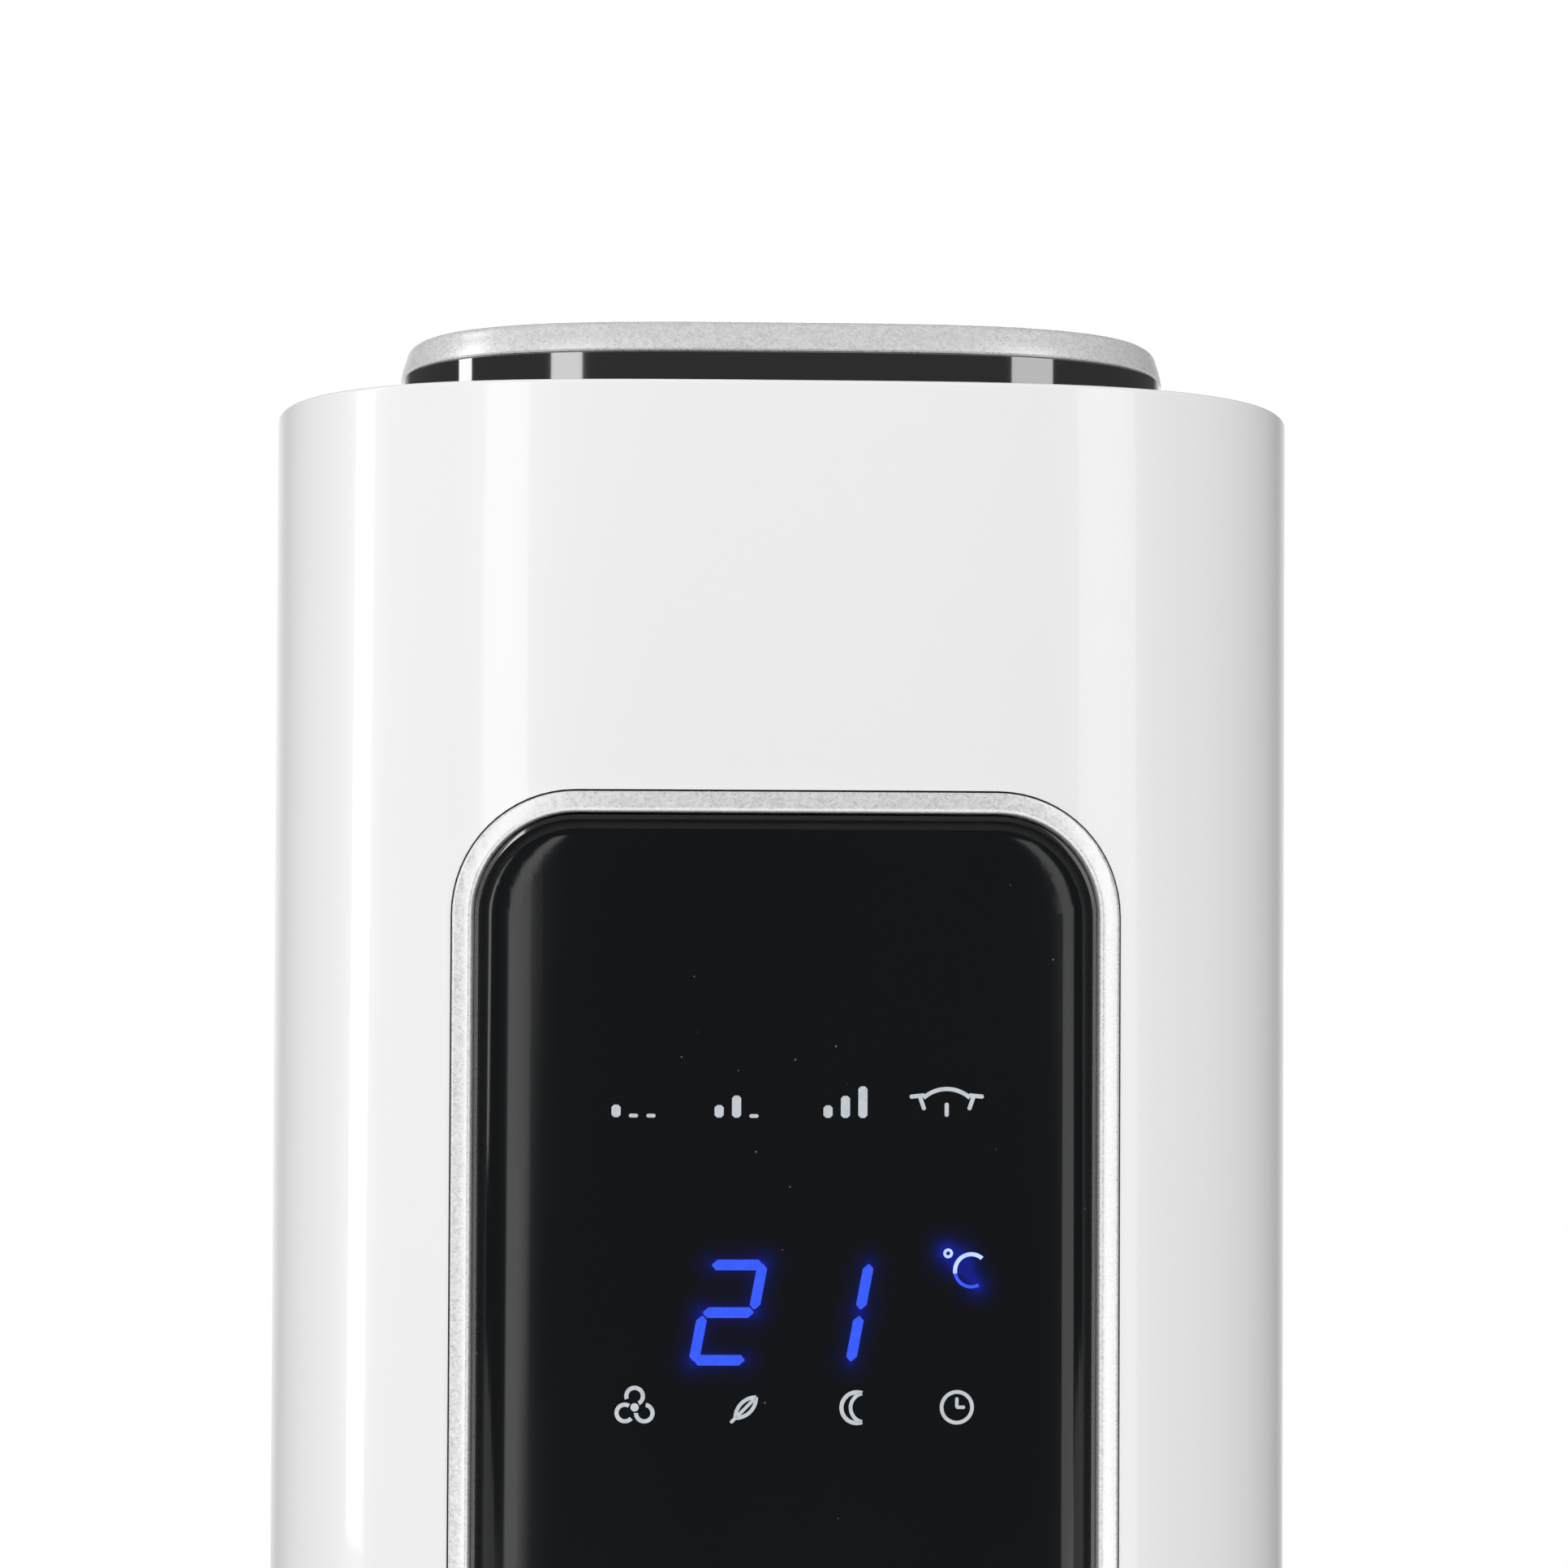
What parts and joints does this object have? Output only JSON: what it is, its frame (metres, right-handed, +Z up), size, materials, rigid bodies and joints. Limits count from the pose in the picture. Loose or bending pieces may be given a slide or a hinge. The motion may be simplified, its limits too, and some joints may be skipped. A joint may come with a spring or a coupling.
{
  "type": "tower fan",
  "caption": "Free-standing tower fan: a slim column with a cross-flow impeller, front display and outlet grille, which swings on a round base.",
  "frame": {"origin": "on the floor at the centre of the round base, under the swing axis", "axes": "+Z up along the swing axis, -Y towards the front with the display, +X to the right seen from the front"},
  "size_m": [0.3, 0.3, 1.1],
  "materials": {
    "white_gloss": "gloss",
    "silver_satin": "satin metallic paint",
    "black_gloss": "gloss",
    "display_lens": "high gloss",
    "button_black": "satin",
    "grille_black": "matte",
    "impeller_grey": "satin",
    "duct_black": "matte",
    "rubber_black": "matte",
    "steel_black": "satin",
    "ballast_iron": "rough",
    "zinc_steel": "zinc plated",
    "shaft_steel": "ground",
    "motor_metal": "cast",
    "rotor_steel": "laminated",
    "acetal_ivory": "smooth",
    "bronze": "sintered",
    "circuit_green": "solder mask",
    "component_black": "moulded",
    "capacitor_white": "smooth"
  },
  "bodies": {
    "base": {"base_cover": "white_gloss", "base_plate": "steel_black", "base_ballast": "ballast_iron", "rubber_feet": "rubber_black", "base_screws": "zinc_steel", "base_trim_ring": "silver_satin", "base_neck": "black_gloss", "pivot_post": "zinc_steel", "thrust_washer": "acetal_ivory", "sector_gear": "acetal_ivory", "gear_screws": "zinc_steel", "retaining_disc": "zinc_steel", "retaining_screws": "zinc_steel", "cord_gland": "rubber_black"},
    "column": {"front_shell": "white_gloss", "rear_shell": "white_gloss", "shell_screws": "zinc_steel", "bezel_frame": "silver_satin", "display_lens": "display_lens", "front_grille": "grille_black", "intake_grille": "white_gloss", "grip_cup": "white_gloss", "neck_band": "black_gloss", "top_trim_ring": "silver_satin", "control_panel": "black_gloss", "control_board": "circuit_green", "tact_switches": "component_black", "panel_screws": "zinc_steel", "display_board": "circuit_green", "digit_module": "component_black", "remote_receiver": "component_black", "swing_platform": "duct_black", "swing_motor": "motor_metal", "swing_motor_screws": "zinc_steel", "motor_plate": "duct_black", "motor_housing": "motor_metal", "motor_mounts": "rubber_black", "bearing_plate": "duct_black", "bearing_cushion": "rubber_black", "shaft_bush": "bronze", "scroll_wall": "duct_black", "vortex_wall": "duct_black", "power_board": "circuit_green", "run_capacitor": "capacitor_white"},
    "impeller": {"motor_shaft": "shaft_steel", "motor_core": "rotor_steel", "drive_hub": "rubber_black", "impeller_end_disc": "impeller_grey", "top_shaft": "shaft_steel", "impeller_segment_1": "impeller_grey", "impeller_segment_2": "impeller_grey", "impeller_segment_3": "impeller_grey", "impeller_segment_4": "impeller_grey", "impeller_segment_5": "impeller_grey"},
    "pinion": {"swing_pinion": "acetal_ivory"},
    "power_key": {"power_button": "button_black"},
    "mode_key": {"mode_button": "button_black"},
    "speed_key": {"speed_button": "button_black"},
    "swing_key": {"swing_button": "button_black"},
    "timer_key": {"timer_button": "button_black"}
  },
  "joints": [
    {"name": "body_swing", "type": "hinge", "parent": "base", "child": "column", "pos_m": [0, 0, 0.038], "axis": [0, 0, 1], "range_deg": [-40, 40]},
    {"name": "impeller_spin", "type": "hinge", "parent": "column", "child": "impeller", "pos_m": [0, 0.004, 0.5], "axis": [0, 0, 1], "continuous": true},
    {"name": "pinion_spin", "type": "hinge", "parent": "column", "child": "pinion", "pos_m": [0, 0.0375, 0.0327], "axis": [0, 0, 1], "range_deg": [-121, 121]},
    {"name": "power_press", "type": "slide", "parent": "column", "child": "power_key", "axis": [0, 0, -1], "range_m": [0, 0.0008], "stiffness_N_per_m": 400, "springref_m": -0.0005},
    {"name": "mode_press", "type": "slide", "parent": "column", "child": "mode_key", "axis": [0, 0, -1], "range_m": [0, 0.0008], "stiffness_N_per_m": 400, "springref_m": -0.0005},
    {"name": "speed_press", "type": "slide", "parent": "column", "child": "speed_key", "axis": [0, 0, -1], "range_m": [0, 0.0008], "stiffness_N_per_m": 400, "springref_m": -0.0005},
    {"name": "swing_press", "type": "slide", "parent": "column", "child": "swing_key", "axis": [0, 0, -1], "range_m": [0, 0.0008], "stiffness_N_per_m": 400, "springref_m": -0.0005},
    {"name": "timer_press", "type": "slide", "parent": "column", "child": "timer_key", "axis": [0, 0, -1], "range_m": [0, 0.0008], "stiffness_N_per_m": 400, "springref_m": -0.0005}
  ],
  "couplings": [
    {"joint": "pinion_spin", "follows": "body_swing", "ratio": 3}
  ]
}
